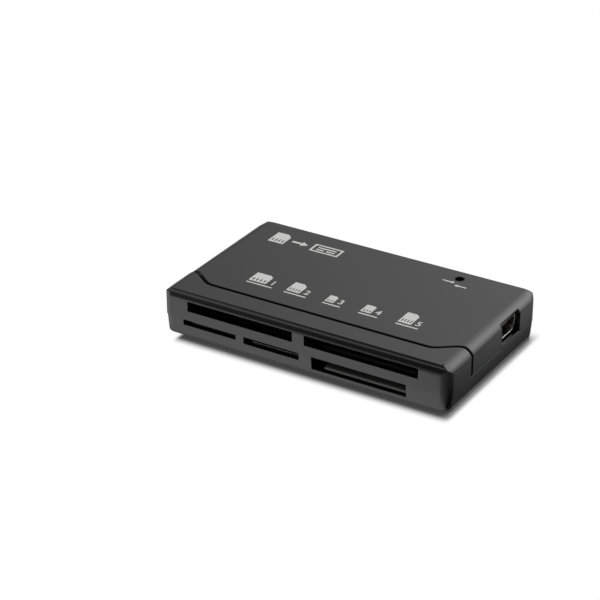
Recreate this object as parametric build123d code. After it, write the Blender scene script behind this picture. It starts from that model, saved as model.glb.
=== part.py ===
from build123d import *
import math
import os

# Desk reader for memory cards: a case of three snapped mouldings round one circuit board.
# Millimetres. X runs along the front, Y to the back, Z up from the middle of the underside.

# Case mouldings
wall = 1.4
floor_thickness = 1.2
base_draft = 4.7  # degrees, inward towards the underside
base_edge_radius = 0.8
front_corner_radius = 2.0
back_corner_radius = 1.9
roll_width = 2.5  # rolled side edges of the top
roll_drop = 1.65
brow_rise = 2.4  # curved brow above the upper slots
brow_setback = 0.95
crease_radius = 0.3  # where the brow meets the top and the rolls meet the sides
back_edge_radius = 1.3
cover_step = 0.1  # the bezel stands this proud of the cover
cover_overhang = 0.1  # the cover overhangs the bottom shell's back
shell_step = 0.1  # the bottom shell lies this far inside the bezel's front and ends
parting_gap = 0.15  # open line between cover and bottom shell

# Seam between bezel and cover
seam_depth = 6.0  # front face to the straight stretch
ear_depth = 9.8  # front face to the ends of the bezel's ears
ear_flat = 2.5  # straight stretch at each side
ear_run = 5.1  # slanted stretch, measured along X
seam_radius = 4.0
seam_gap = 0.5
lap_length = 1.6  # the bezel's flange under the cover
lap_depth = 0.9
lap_fit = 0.1

# Snap hooks and locating tabs
hook_width = 3.0
hook_thickness = 0.8
hook_length = 2.0
hook_root = 0.9
hook_grip = 0.3  # how far a root or rib reaches into its wall
barb_reach = 0.4
barb_shoulder = 1.0  # parting plane to the barb
snap_fit = 0.05
pocket_fit = 0.15
tab_width = 1.6
side_hook_from_back = (8.0, 20.0)
right_hook_from_back = 4.7
back_hook_from_right = (12.0, 44.0)

# Circuit board
board_thickness = 1.0
board_gap = 0.05  # above the parting plane
board_fit = 0.3  # round the board's edge
post_size = 3.2  # cross-shaped posts
post_rib = 1.2
pin_diameter = 1.6
pin_fit = 0.15
pin_recess = 0.1  # pin ends below the board's upper face
post_from_side = 6.7
post_from_back = 5.2
post_from_front = 4.8
stop_fit = 0.1  # cover posts above the board

# Upper card sockets
upper_left_slot_width = 26.9
upper_right_slot_width = 27.7
upper_slot_height = 2.4
upper_left_margin = 6.65  # left side of the case to the slot
upper_right_margin = 7.25
upper_socket_spacing = 0.54
upper_socket_depth = 15.9
upper_tray_floor = 1.2
tray_side = 0.9
tray_back = 2.0
shield_thickness = 0.25
shield_fit = 0.03
socket_gap = 0.15  # socket fronts behind the case wall

# Lower card sockets
lower_left_slot_width = 13.7
lower_middle_slot_width = 14.05
lower_right_slot_width = 23.1
lower_left_space = 1.1  # card heights
lower_middle_space = 1.5
jaw_space = 1.75
lower_left_depth = 14.5
lower_middle_depth = 15.5
jaw_depth = 24.0
lower_left_margin = 5.35
lower_right_margin = 10.15
lower_socket_spacing = 0.315
jaw_spacing = 1.345
small_side = 0.6
small_back = 1.2
small_shield = 0.2
lower_base = 0.3  # room for the contacts between frame and board
jaw_floor = 0.5
jaw_lead = 0.4  # rounded upper edge at the mouth
jaw_setback = 0.8  # the floor's tongue ends this far inside the notch
jaw_fit = 0.1
jaw_cut_width = 3.0  # the floor's left corner is cut away
jaw_cut_depth = 6.0
jaw_reveal = 1.1  # the notch shows the edge of the jaw's floor and a gap under it
small_reveal = 0.07
jaw_gap = 0.75  # under the jaw

# Contacts of the card sockets
contact_thickness = 0.15
contact_width = 0.6
groove_fit = 0.1
groove_depth = 0.5
contact_setback = 4.2  # socket front to the contact tips
contact_lift = 0.6
tip_length = 0.9
spring_length = 4.5
tail_gap = 0.2
foot_length = 0.9
upper_left_count = 18
upper_left_pitch = 1.3
upper_right_count = 11
upper_right_pitch = 2.3
lower_left_count = 8
lower_left_pitch = 1.1
lower_middle_count = 11
lower_middle_pitch = 1.1
lower_right_count = 10
lower_right_pitch = 2.0

# Rear header for the wide card
rear_slot_width = 43.2
rear_slot_height = 3.6
rear_slot_margin = 6.1
rear_floor_gap = 0.25
component_bay = 22.1  # rear slot to the right side of the case
header_depth = 5.0
guide_length = 14.45
guide_side = 1.3
rail_width = 0.6
rail_height = 1.0
rail_lead = 1.5
socket_spacing = 2.2
rear_pin_count = 25
rear_pin_pitch = 1.27
rear_pin_size = 0.45
rear_pin_fit = 0.03
rear_pin_reach = 5.5
rear_tail_gap = 0.3
rear_tail_step = 0.65

# Five-pin socket on the right side
usb_width = 7.7
usb_height = 3.95
usb_length = 9.2
usb_narrow = 0.8  # each lower corner is this much narrower
usb_shoulder = 0.7
usb_slope = 0.8
usb_corner_radius = 0.35
usb_metal = 0.3
usb_setback = 1.0
usb_from_back = 13.2
usb_cutout_width = 8.5
usb_cutout_above = 0.5
usb_pocket_fit = 0.15
usb_lip = 0.55  # raised edge of the bottom shell under the cut-out
lip_fit = 0.1
usb_block = 3.2
usb_fit = 0.03
tongue_width = 4.2
tongue_thickness = 1.0
tongue_length = 4.8
tongue_drop = 1.1  # below the top of the socket
usb_contact_count = 5
usb_contact_pitch = 0.8
usb_contact_width = 0.4
usb_contact_thickness = 0.2

# Lamp
lamp_hole_diameter = 2.0
lamp_from_right = 17.4
lamp_from_back = 4.25
led_length = 2.0
led_width = 1.25
led_height = 0.8
lens_size = 0.9

# Chips
chip_size = 7.0
chip_height = 1.4
chip_standoff = 0.1
chip_from_left = 22.2
chip_from_back = 13.0
chip_corner = 0.5  # cut corner beside the first lead
lead_count = 8  # on each side
lead_pitch = 0.8
lead_width = 0.35
lead_thickness = 0.13
lead_reach = 1.0
regulator_length = 2.9
regulator_width = 1.6
regulator_height = 1.1
regulator_from_right = 18.4
regulator_from_back = 16.3
regulator_pitch = 0.95
crystal_length = 11.0
crystal_width = 4.6
crystal_height = 3.4
crystal_from_right = 14.2
crystal_from_back = 10.7
cover_post_from_right = 13.7
cover_post_from_back = 18.3
capacitor_size = (1.6, 0.8, 0.8)
resistor_size = (1.6, 0.8, 0.45)
capacitors_a_side = 4
passive_pitch = 1.7
passive_gap = 1.2

# Sizes of the case, from what it holds
tray_reach = tray_side + shield_fit + shield_thickness
small_reach = small_side + shield_fit + small_shield
upper_slot_gap = 2 * tray_reach + upper_socket_spacing
lower_slot_gap = 2 * small_reach + lower_socket_spacing
jaw_slot_gap = small_reach + jaw_spacing + tray_side
upper_row = upper_left_margin + upper_left_slot_width + upper_slot_gap
upper_row += upper_right_slot_width + upper_right_margin
lower_row = lower_left_margin + lower_left_slot_width + lower_slot_gap + lower_middle_slot_width
lower_row += jaw_slot_gap + lower_right_slot_width + lower_right_margin
rear_row = rear_slot_margin + rear_slot_width + component_bay
case_length = max(upper_row, lower_row, rear_row)
case_width = 2 * (wall + socket_gap) + brow_setback + upper_socket_depth + socket_spacing
case_width += header_depth + guide_length
jaw_height = lower_base + jaw_space + jaw_floor
parting_height = floor_thickness + jaw_gap + jaw_height
board_bottom = parting_height + board_gap
board_top = board_bottom + board_thickness
upper_stack = max(upper_tray_floor + upper_slot_height + shield_thickness,
                  rear_floor_gap + rear_slot_height)
case_height = board_top + upper_stack + stop_fit + wall + cover_step

# Planes of the case
x_left = -case_length / 2
x_right = case_length / 2
y_front = -case_width / 2
y_back = case_width / 2
draft_slope = math.tan(math.radians(base_draft))
upper_front = y_front + wall + brow_setback + socket_gap
lower_front = y_front + shell_step + wall + parting_height * draft_slope + socket_gap
upper_floor = board_top + upper_tray_floor
upper_roof = upper_floor + upper_slot_height
upper_back = upper_front + upper_socket_depth
beyond = 5.0  # cutters run past the case by this much

# Slot middles along the front
upper_left_x = x_left + upper_left_margin + upper_left_slot_width / 2
upper_right_x = upper_left_x + (upper_left_slot_width + upper_right_slot_width) / 2 + upper_slot_gap
lower_left_x = x_left + lower_left_margin + lower_left_slot_width / 2
lower_middle_x = lower_left_x + (lower_left_slot_width + lower_middle_slot_width) / 2 + lower_slot_gap
lower_right_x = lower_middle_x + (lower_middle_slot_width + lower_right_slot_width) / 2 + jaw_slot_gap
rear_slot_x = x_left + rear_slot_margin + rear_slot_width / 2

# Socket and lamp places
usb_y = y_back - usb_from_back
usb_mouth = x_right - cover_step - usb_setback
usb_rear = usb_mouth - usb_length
usb_top = board_top + usb_height
lamp_x = x_right - lamp_from_right
lamp_y = y_back - lamp_from_back


def block(x0, x1, y0, y1, z0, z1):
    """A box between two corners."""
    middle = ((x0 + x1) / 2, (y0 + y1) / 2, (z0 + z1) / 2)
    return Pos(*middle) * Box(x1 - x0, y1 - y0, z1 - z0)


def ribbon(path, thickness):
    """Outline of a bent strip that follows a path of points in its own plane."""
    points = [Vector(*p) for p in path]
    upper, lower = [], []
    for i, point in enumerate(points):
        before = (point - points[i - 1]).normalized() if i > 0 else None
        after = (points[i + 1] - point).normalized() if i < len(points) - 1 else None
        along = ((before or after) + (after or before)).normalized()
        across = Vector(-along.Y, along.X)
        mitre = thickness / 2 / along.dot(after or before)
        upper.append(point + across * mitre)
        lower.append(point - across * mitre)
    return make_face(Polyline(*upper, *reversed(lower), close=True))


def strip_along_y(path, thickness, width):
    """A bent strip whose path lies in the YZ plane, middle at X = 0."""
    return extrude(Plane.YZ * ribbon(path, thickness), amount=width / 2, both=True)


def strip_along_x(path, thickness, width):
    """A bent strip whose path lies in the XZ plane, middle at Y = 0."""
    return extrude(Plane.XZ * ribbon(path, thickness), amount=width / 2, both=True)


def row(count, pitch):
    """Places of a centred row."""
    return [(i - (count - 1) / 2) * pitch for i in range(count)]


def outline(side, front, back, inset):
    """Plan of the case with rounded corners, set in from its four sides."""
    plan = Pos(0, (front - back) / 2) * Rectangle(case_length - 2 * side, case_width - front - back)
    plan = fillet(plan.vertices().group_by(Axis.Y)[0], max(front_corner_radius - inset, wall / 4))
    return fillet(plan.vertices().group_by(Axis.Y)[-1], max(back_corner_radius - inset, wall / 4))


def upper_form(inset, back, base, crease=0):
    """The upper half of the case set in by a distance: plan, rolled ends and front brow together."""
    top = case_height - inset
    half = case_length / 2 - inset
    front = y_front + inset
    rear = y_back - back
    edge = max(back_edge_radius - back, wall / 4)
    plan = extrude(Pos(0, 0, base) * outline(inset, inset, back, inset), amount=top - base)
    ends = [
        Line((-half, base), (half, base)),
        Line((half, base), (half, top - roll_drop)),
        TangentArc((half - roll_width, top), (half, top - roll_drop), tangent=(1, 0)),
        Line((half - roll_width, top), (-half + roll_width, top)),
        TangentArc((-half + roll_width, top), (-half, top - roll_drop), tangent=(-1, 0)),
        Line((-half, top - roll_drop), (-half, base)),
    ]
    ends = make_face(ends)
    if crease:
        ends = fillet(ends.vertices().group_by(Axis.Y)[1], crease)
    rolled = extrude(Plane.XZ * ends, amount=case_width, both=True)
    side = [
        Line((front, base), (front, top - brow_rise)),
        TangentArc((front, top - brow_rise), (front + brow_setback, top), tangent=(0, 1)),
        Line((front + brow_setback, top), (rear - edge, top)),
        TangentArc((rear - edge, top), (rear, top - edge), tangent=(1, 0)),
        Line((rear, top - edge), (rear, base)),
        Line((rear, base), (front, base)),
    ]
    side = make_face(side)
    if crease:
        side = fillet(side.vertices().group_by(Axis.Y)[-1].sort_by(Axis.X)[0], crease)
    browed = extrude(Plane.YZ * side, amount=case_length, both=True)
    return plan & rolled & browed


def seam_region(grow):
    """Plan of what lies in front of the seam, with its edge moved back by a distance."""
    far = case_length / 2 + beyond
    ear_y = y_front + ear_depth
    seam_y = y_front + seam_depth
    ear_x = case_length / 2 - ear_flat
    seam_x = ear_x - ear_run
    seam = FilletPolyline((-far, ear_y), (-ear_x, ear_y), (-seam_x, seam_y),
                          (seam_x, seam_y), (ear_x, ear_y), (far, ear_y), radius=seam_radius)
    front = Polyline((far, ear_y), (far, y_front - beyond), (-far, y_front - beyond), (-far, ear_y))
    region = make_face(seam.edges() + front.edges())
    if grow:
        region = offset(region, amount=grow)
    return extrude(region, amount=case_height + beyond)


def hook_profile(cover_face, base_face):
    """Section of a snap hook, outward distance against height."""
    outer = base_face - snap_fit - hook_length * draft_slope
    inner = outer - hook_thickness
    shoulder = parting_height - barb_shoulder
    foot = parting_height - hook_length
    return make_face(Polyline(
        (inner, parting_height + hook_root), (cover_face + hook_grip, parting_height + hook_root),
        (cover_face + hook_grip, parting_height), (outer, parting_height), (outer, shoulder),
        (outer + barb_reach, shoulder), (outer, foot), (inner, foot), close=True))


def hook_places():
    """Frame and wall distances of every snap hook: left side, right side and back."""
    side_cover = case_length / 2 - cover_step - wall
    side_base = case_length / 2 - shell_step - wall
    back_cover = y_back - wall
    back_base = back_cover - cover_overhang
    places = []
    for away in side_hook_from_back:
        frame = Plane((0, y_back - away, 0), x_dir=(-1, 0, 0), z_dir=(0, 1, 0))
        places.append((frame, side_cover, side_base))
    frame = Plane((0, y_back - right_hook_from_back, 0), x_dir=(1, 0, 0), z_dir=(0, -1, 0))
    places.append((frame, side_cover, side_base))
    for away in back_hook_from_right:
        frame = Plane((x_right - away, 0, 0), x_dir=(0, 1, 0), z_dir=(1, 0, 0))
        places.append((frame, back_cover, back_base))
    return places


def hook_pocket(frame, base_face):
    """Recess in the bottom shell's wall that a hook's barb snaps into."""
    outer = base_face - snap_fit - hook_length * draft_slope
    low = parting_height - hook_length - pocket_fit
    high = parting_height - barb_shoulder + snap_fit
    reach = outer + barb_reach + pocket_fit
    face = make_face(Polyline((outer - hook_thickness, low), (reach, low),
                              (reach, high), (outer - hook_thickness, high), close=True))
    return extrude(frame * face, amount=hook_width / 2 + pocket_fit, both=True)


def notch(x, width, height):
    """Card notch in the bottom shell's front wall, open at the parting plane."""
    return block(x - width / 2, x + width / 2, y_front - beyond, lower_front,
                 parting_height - height, parting_height + beyond)


def cross_post(x, y, z0, z1):
    """Moulded post of two crossed ribs."""
    long, short = post_size / 2, post_rib / 2
    return block(x - long, x + long, y - short, y + short, z0, z1) + block(
        x - short, x + short, y - long, y + long, z0, z1)


def post_places():
    """Board posts: three near the corners and one beside the left small sockets."""
    return [
        (x_left + post_from_side + tray_reach, y_back - post_from_back),
        (x_right - post_from_side, y_back - post_from_back),
        (x_right - post_from_side, y_front + post_from_front),
        (x_left + post_from_side + tray_reach, lower_front + lower_middle_depth + post_size),
    ]


def pin_places():
    """Posts that carry a locating pin: back left and front right."""
    places = post_places()
    return [places[0], places[2]]


def bottom_shell():
    """Tray with drafted walls, card notches, board posts and hook pockets."""
    plan = Pos(0, 0, parting_height) * outline(shell_step, shell_step, cover_overhang, shell_step)
    body = extrude(plan, amount=parting_height, dir=(0, 0, -1), taper=base_draft)
    body = fillet(body.faces().sort_by(Axis.Z)[0].edges(), base_edge_radius)
    inside = shell_step + wall
    plan = outline(inside, inside, cover_overhang + wall, inside)
    body -= extrude(Pos(0, 0, parting_height) * plan, amount=parting_height - floor_thickness,
                    dir=(0, 0, -1), taper=base_draft)
    shown = lower_base - board_gap
    body -= notch(lower_left_x, lower_left_slot_width, shown + lower_left_space + small_reveal)
    body -= notch(lower_middle_x, lower_middle_slot_width, shown + lower_middle_space + small_reveal)
    body -= notch(lower_right_x, lower_right_slot_width, shown + jaw_space + jaw_reveal)
    for frame, cover_face, base_face in hook_places():
        body -= hook_pocket(frame, base_face)
    for x, y in post_places():
        body += cross_post(x, y, floor_thickness / 2, board_bottom)
    for x, y in pin_places():
        body += Pos(x, y, board_bottom) * Cylinder(pin_diameter / 2, board_thickness - pin_recess, align=UP)
    lip_half = usb_cutout_width / 2 - lip_fit
    outer = case_length / 2 - shell_step
    body += block(outer - wall, outer, usb_y - lip_half, usb_y + lip_half,
                  parting_height, parting_height + usb_lip)
    return body


def front_bezel():
    """Front strip of the upper half with its two slots, ears, flange and tabs."""
    base = parting_height
    hollow = upper_form(wall, wall, base - wall)
    body = (upper_form(0, 0, base, crease_radius) - hollow) & seam_region(0)
    flange = (upper_form(lap_depth, lap_depth, base) - hollow) & seam_region(lap_length)
    body += flange
    slots = ((upper_left_x, upper_left_slot_width), (upper_right_x, upper_right_slot_width))
    for x, width in slots:
        body -= block(x - width / 2, x + width / 2, y_front - beyond, upper_front, upper_floor, upper_roof)
    near = y_front + shell_step + wall + snap_fit
    near += hook_length * draft_slope
    tab_x = case_length / 2 - front_corner_radius - lap_fit - tab_width / 2
    for x in (-tab_x, tab_x):
        body += block(x - tab_width / 2, x + tab_width / 2, near, near + hook_thickness,
                      parting_height - hook_length, parting_height + hook_root)
        body += block(x - tab_width / 2, x + tab_width / 2, y_front + wall - hook_grip,
                      near + hook_thickness, parting_height, parting_height + hook_root)
    return body


def top_cover():
    """Rear part of the upper half with the lamp hole, both socket openings, hooks and posts."""
    base = parting_height + parting_gap
    body = upper_form(cover_step, 0, base, crease_radius)
    body -= upper_form(cover_step + wall, wall, base - wall)
    body -= seam_region(seam_gap)
    body -= upper_form(lap_depth - lap_fit, lap_depth - lap_fit, base - wall) & seam_region(
        lap_length + lap_fit)
    half = usb_cutout_width / 2
    body -= block(x_right - cover_step - wall - hook_grip, x_right + beyond, usb_y - half, usb_y + half,
                  base - wall, usb_top + usb_cutout_above)
    half = usb_width / 2 + usb_pocket_fit
    body -= block(usb_rear - usb_pocket_fit, x_right - cover_step - wall, usb_y - half, usb_y + half,
                  base, usb_top + usb_pocket_fit)
    half = rear_slot_width / 2
    low = board_top + rear_floor_gap
    body -= block(rear_slot_x - half, rear_slot_x + half, y_back - wall - socket_gap, y_back + beyond,
                  low, low + rear_slot_height)
    body -= Pos(lamp_x, lamp_y, case_height) * Cylinder(lamp_hole_diameter / 2, 4 * wall)
    for frame, cover_face, base_face in hook_places():
        body += extrude(frame * hook_profile(cover_face, base_face), amount=hook_width / 2, both=True)
    top = case_height - cover_step - wall / 2
    stop = board_top + stop_fit
    places = ((x_right - post_from_side, y_back - post_from_back),
              (x_right - cover_post_from_right, y_back - cover_post_from_back))
    for x, y in places:
        body += cross_post(x, y, stop, top)
    return body


def circuit_board():
    """Board with a hole for each pin of the bottom shell."""
    inset = wall + cover_overhang + hook_thickness + board_fit
    side = case_length / 2 - inset - cover_step
    body = block(-side, side, y_front + inset, y_back - inset, board_bottom, board_top)
    for x, y in pin_places():
        body -= Pos(x, y, board_bottom) * Cylinder(pin_diameter / 2 + pin_fit, 4 * board_thickness)
    return body


def upper_tray(x, width, count, pitch):
    """Moulded floor, sides and back of an upper socket, with a groove for each contact."""
    half = width / 2
    body = block(x - half - tray_side, x + half + tray_side, upper_front, upper_back,
                 board_top, upper_roof)
    body -= block(x - half, x + half, upper_front - beyond, upper_back - tray_back,
                  upper_floor, upper_roof + beyond)
    groove = contact_width / 2 + groove_fit
    for place in row(count, pitch):
        body -= block(x + place - groove, x + place + groove, upper_front + contact_setback - tip_length,
                      upper_back + beyond, upper_floor - groove_depth, upper_floor)
    return body


def upper_contacts(x, count, pitch):
    """Spring contacts that rise from the tray's grooves and end on the board behind it."""
    level = upper_floor - groove_depth + groove_fit + contact_thickness / 2
    tip = upper_front + contact_setback
    path = [(upper_back + tail_gap, board_top), (upper_back + tail_gap, level),
            (tip + spring_length, level), (tip, upper_floor + contact_lift)]
    contact = strip_along_y(path, contact_thickness, contact_width)
    return [Pos(x + place, 0, 0) * contact for place in row(count, pitch)]


def shield(x, half, y0, y1, plate, board_face, metal):
    """Stamped cover: a plate over the tray and a flange down each side to the board."""
    away = 1 if plate > board_face else -1
    low, high = sorted((board_face, plate + away * metal))
    body = block(x - half - shield_fit - metal, x + half + shield_fit + metal, y0, y1, low, high)
    low, high = sorted((board_face - away * beyond, plate))
    body -= block(x - half - shield_fit, x + half + shield_fit, y0 - beyond, y1 + beyond, low, high)
    length = (y1 - y0) / 2
    for place in (x - half / 2, x + half / 2):
        window = block(place - tip_length, place + tip_length, y0 + length / 2, y0 + 3 * length / 2,
                       plate - metal, plate + metal)
        tongue = block(place - tip_length / 2, place + tip_length / 2, y0 + length / 2,
                       y0 + 3 * length / 2 - tip_length, plate - metal, plate + metal)
        body -= window - tongue
    return body


def lower_frame(x, width, space, depth, side, back):
    """Open frame under the board: two rails, and a bar that clamps the contacts at their far end."""
    left = x - width / 2
    right = x + width / 2
    under = board_bottom - lower_base - space
    end = lower_front + depth
    body = block(left - side, right + side, end - back, end, under, board_bottom - lower_base)
    for edge in (left - side, right):
        body += block(edge, edge + side, lower_front, end, under, board_bottom)
    return body


def jaw_plate():
    """Moulded floor under the widest frame, with a tongue in the notch and its left corner cut away."""
    left = lower_right_x - lower_right_slot_width / 2
    right = lower_right_x + lower_right_slot_width / 2
    top = board_bottom - lower_base - jaw_space
    body = block(left - tray_side, right + tray_side, lower_front, lower_front + jaw_depth,
                 top - jaw_floor, top)
    body += block(left + jaw_fit, right - jaw_fit, y_front + shell_step + jaw_setback, lower_front,
                  top - jaw_floor, top)
    mouth = body.edges().filter_by(Axis.X).group_by(Axis.Z)[-1].sort_by(Axis.Y)[0]
    body = fillet(mouth, jaw_lead)
    return body - block(left - beyond, left + jaw_cut_width, lower_front - beyond,
                        lower_front + jaw_cut_depth, top - beyond, top + beyond)


def lower_contacts(x, space, depth, count, pitch):
    """Spring contacts that hang from the board between the frame's rails."""
    level = board_bottom - contact_thickness / 2
    tip = lower_front + contact_setback
    drop = lower_base + min(contact_lift, space / 2)
    path = [(lower_front + depth + foot_length, level), (tip + spring_length, level), (tip, level - drop)]
    contact = strip_along_y(path, contact_thickness, contact_width)
    return [Pos(x + place, 0, 0) * contact for place in row(count, pitch)]


def rear_header():
    """Moulded header block with two guide arms and a hole for each pin."""
    half = rear_slot_width / 2
    y0 = upper_back + socket_spacing
    y1 = y0 + header_depth
    end = y1 + guide_length
    top = board_top + rear_floor_gap + rear_slot_height - stop_fit
    body = block(rear_slot_x - half - guide_side, rear_slot_x + half + guide_side, y0, end, board_top, top)
    body -= block(rear_slot_x - half, rear_slot_x + half, y1, end + beyond,
                  board_top - beyond, top + beyond)
    middle = board_top + rear_floor_gap + rear_slot_height / 2
    for side in (-1, 1):
        x = rear_slot_x + side * half
        low, high = sorted((x, x - side * rail_width))
        body += block(low, high, y1, end - rail_lead, middle - rail_height / 2, middle + rail_height / 2)
    hole = rear_pin_size + 2 * rear_pin_fit
    for z in rear_pin_rows():
        for place in row(rear_pin_count, rear_pin_pitch):
            body -= Pos(rear_slot_x + place, (y0 + y1) / 2, z) * Box(hole, 2 * header_depth, hole)
    return body


def rear_pin_rows():
    """Heights of the two rows of pins, lower first."""
    middle = board_top + rear_floor_gap + rear_slot_height / 2
    return [middle + place for place in row(2, rear_pin_pitch)]


def rear_pins():
    """Two rows of square pins, each bent down to the board in front of the header."""
    y0 = upper_back + socket_spacing
    pins = []
    for level, z in enumerate(rear_pin_rows()):
        tail = y0 - rear_tail_gap - level * rear_tail_step
        path = [(tail, board_top), (tail, z), (y0 + header_depth + rear_pin_reach, z)]
        pin = strip_along_y(path, rear_pin_size, rear_pin_size)
        pins += [Pos(rear_slot_x + place, 0, 0) * pin for place in row(rear_pin_count, rear_pin_pitch)]
    return pins


def usb_profile(inset, corner=0):
    """Section of the side socket, wide above and narrower below, set in by a distance."""
    half = usb_width / 2 - inset
    low = half - usb_narrow
    z0 = board_top + inset
    face = make_face(Polyline((-low, z0), (low, z0), (low, board_top + usb_shoulder),
                              (half, board_top + usb_shoulder + usb_slope), (half, usb_top - inset),
                              (-half, usb_top - inset), (-half, board_top + usb_shoulder + usb_slope),
                              (-low, board_top + usb_shoulder), close=True))
    if corner:
        levels = face.vertices().group_by(Axis.Y)
        face = fillet(levels[0] + levels[-1], corner)
    return face


def usb_shell():
    """Stamped shell, open at both ends."""
    outer = extrude(Plane.YZ.offset(usb_rear) * usb_profile(0, usb_corner_radius), amount=usb_length)
    inner = extrude(Plane.YZ.offset(usb_rear - beyond) * usb_profile(usb_metal),
                    amount=usb_length + 2 * beyond)
    return Pos(0, usb_y, 0) * (outer - inner)


def usb_contact_path():
    """Path of a socket contact: along the under face of the tongue, out at the back, down to the board."""
    level = usb_top - tongue_drop - tongue_thickness + usb_contact_thickness / 2
    tip = usb_rear + usb_block + tongue_length - tip_length / 2
    return [(usb_rear - tail_gap, board_top), (usb_rear - tail_gap, level), (tip, level)]


def usb_insulator():
    """Block that fills the back of the shell, with the tongue and a groove for each contact."""
    fill = extrude(Plane.YZ.offset(usb_rear) * usb_profile(usb_metal + usb_fit), amount=usb_block)
    under = usb_top - tongue_drop - tongue_thickness
    tongue = block(usb_rear, usb_rear + usb_block + tongue_length, -tongue_width / 2, tongue_width / 2,
                   under, under + tongue_thickness)
    body = fill + tongue
    half = usb_contact_width / 2 + usb_fit
    for place in row(usb_contact_count, usb_contact_pitch):
        body -= block(usb_rear - beyond, usb_rear + usb_block + tongue_length - tip_length / 2 + usb_fit,
                      place - half, place + half, under - usb_fit,
                      under + usb_contact_thickness + usb_fit)
    return Pos(0, usb_y, 0) * body


def usb_contacts():
    """Five contacts of the side socket."""
    contact = strip_along_x(usb_contact_path(), usb_contact_thickness, usb_contact_width)
    return [Pos(0, usb_y + place, 0) * contact for place in row(usb_contact_count, usb_contact_pitch)]


def controller_chip():
    """Flat square chip under the board, with a bevelled edge and one cut corner."""
    z1 = board_bottom - chip_standoff
    body = block(-chip_size / 2, chip_size / 2, -chip_size / 2, chip_size / 2, z1 - chip_height, z1)
    corner = body.edges().filter_by(Axis.Z).group_by(Axis.X)[-1].sort_by(Axis.Y)[-1]
    body = chamfer(corner, chip_corner)
    body = chamfer(body.faces().sort_by(Axis.Z)[0].edges(), chip_standoff)
    return Pos(x_left + chip_from_left, y_back - chip_from_back, 0) * body


def controller_leads():
    """Bent leads on the four sides of the controller."""
    level = board_bottom - chip_standoff - chip_height / 2
    half = chip_size / 2
    flat = board_bottom - lead_thickness / 2
    path = [(half + lead_thickness / 2, level), (half + lead_reach / 2, flat), (half + lead_reach, flat)]
    lead = strip_along_x(path, lead_thickness, lead_width)
    place = Pos(x_left + chip_from_left, y_back - chip_from_back, 0)
    turns = [Rot(0, 0, 90 * side) for side in range(4)]
    return [place * turn * Pos(0, step, 0) * lead for turn in turns for step in row(lead_count, lead_pitch)]


def voltage_regulator():
    """Small three-legged regulator on the board."""
    z0 = board_top + chip_standoff
    body = block(-regulator_length / 2, regulator_length / 2, -regulator_width / 2, regulator_width / 2,
                 z0, z0 + regulator_height)
    body = chamfer(body.faces().sort_by(Axis.Z)[-1].edges(), chip_standoff)
    return Pos(x_right - regulator_from_right, y_back - regulator_from_back, 0) * body


def regulator_leads():
    """Two legs on one side and one on the other."""
    level = board_top + chip_standoff + regulator_height / 2
    half = regulator_width / 2
    flat = board_top + lead_thickness / 2
    path = [(half + lead_thickness / 2, level), (half + lead_reach / 2, flat), (half + lead_reach, flat)]
    leg = strip_along_y(path, lead_thickness, 2 * lead_width)
    place = Pos(x_right - regulator_from_right, y_back - regulator_from_back, 0)
    pair = [place * Pos(step, 0, 0) * leg for step in (-regulator_pitch, regulator_pitch)]
    return pair + [place * Rot(0, 0, 180) * leg]


def crystal_can():
    """Drawn metal can with round ends."""
    body = extrude(SlotOverall(crystal_length, crystal_width, rotation=90), amount=crystal_height)
    return Pos(x_right - crystal_from_right, y_back - crystal_from_back, board_top) * body


def status_led():
    """Small lamp on the board, right under the hole in the cover."""
    body = Pos(lamp_x, lamp_y, board_top) * Box(led_length, led_width, led_height / 2, align=UP)
    lens = Pos(lamp_x, lamp_y, board_top) * Box(lens_size, lens_size, led_height, align=UP)
    return body + lens


def passives(size, places, face, away):
    """Chip parts of one size on one face of the board."""
    length, width, height = size
    low, high = sorted((face, face + away * height))
    return [block(x - length / 2, x + length / 2, y - width / 2, y + width / 2, low, high)
            for x, y in places]


def save(name, shape):
    """Write one node, with several solids as one group."""
    group = Compound(children=list(shape)) if isinstance(shape, list) else shape
    export_step(group, os.path.join("parts", name + ".step"))


UP = (Align.CENTER, Align.CENTER, Align.MIN)
os.makedirs("parts", exist_ok=True)

save("bottom_shell", bottom_shell())
save("front_bezel", front_bezel())
save("top_cover", top_cover())
save("circuit_board", circuit_board())

for side, x, width, count, pitch in (
        ("upper_left", upper_left_x, upper_left_slot_width, upper_left_count, upper_left_pitch),
        ("upper_right", upper_right_x, upper_right_slot_width, upper_right_count, upper_right_pitch)):
    save(side + "_tray", upper_tray(x, width, count, pitch))
    save(side + "_contacts", upper_contacts(x, count, pitch))
    save(side + "_shield", shield(x, width / 2 + tray_side, upper_front, upper_back,
                                  upper_roof, board_top, shield_thickness))

for side, x, width, space, depth, count, pitch in (
        ("lower_left", lower_left_x, lower_left_slot_width, lower_left_space,
         lower_left_depth, lower_left_count, lower_left_pitch),
        ("lower_middle", lower_middle_x, lower_middle_slot_width, lower_middle_space,
         lower_middle_depth, lower_middle_count, lower_middle_pitch)):
    save(side + "_tray", lower_frame(x, width, space, depth, small_side, small_back))
    save(side + "_contacts", lower_contacts(x, space, depth, count, pitch))
    save(side + "_shield", shield(x, width / 2 + small_side, lower_front, lower_front + depth,
                                  board_bottom - lower_base - space, board_bottom, small_shield))

save("lower_right_tray", lower_frame(lower_right_x, lower_right_slot_width, jaw_space,
                                     jaw_depth, tray_side, tray_back))
save("lower_right_floor", jaw_plate())
save("lower_right_contacts", lower_contacts(lower_right_x, jaw_space, jaw_depth,
                                            lower_right_count, lower_right_pitch))

save("rear_header", rear_header())
save("rear_pins", rear_pins())
save("usb_shell", usb_shell())
save("usb_insulator", usb_insulator())
save("usb_contacts", usb_contacts())
save("controller_chip", controller_chip())
save("controller_leads", controller_leads())
save("voltage_regulator", voltage_regulator())
save("regulator_leads", regulator_leads())
save("crystal_can", crystal_can())
save("status_led", status_led())

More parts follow.
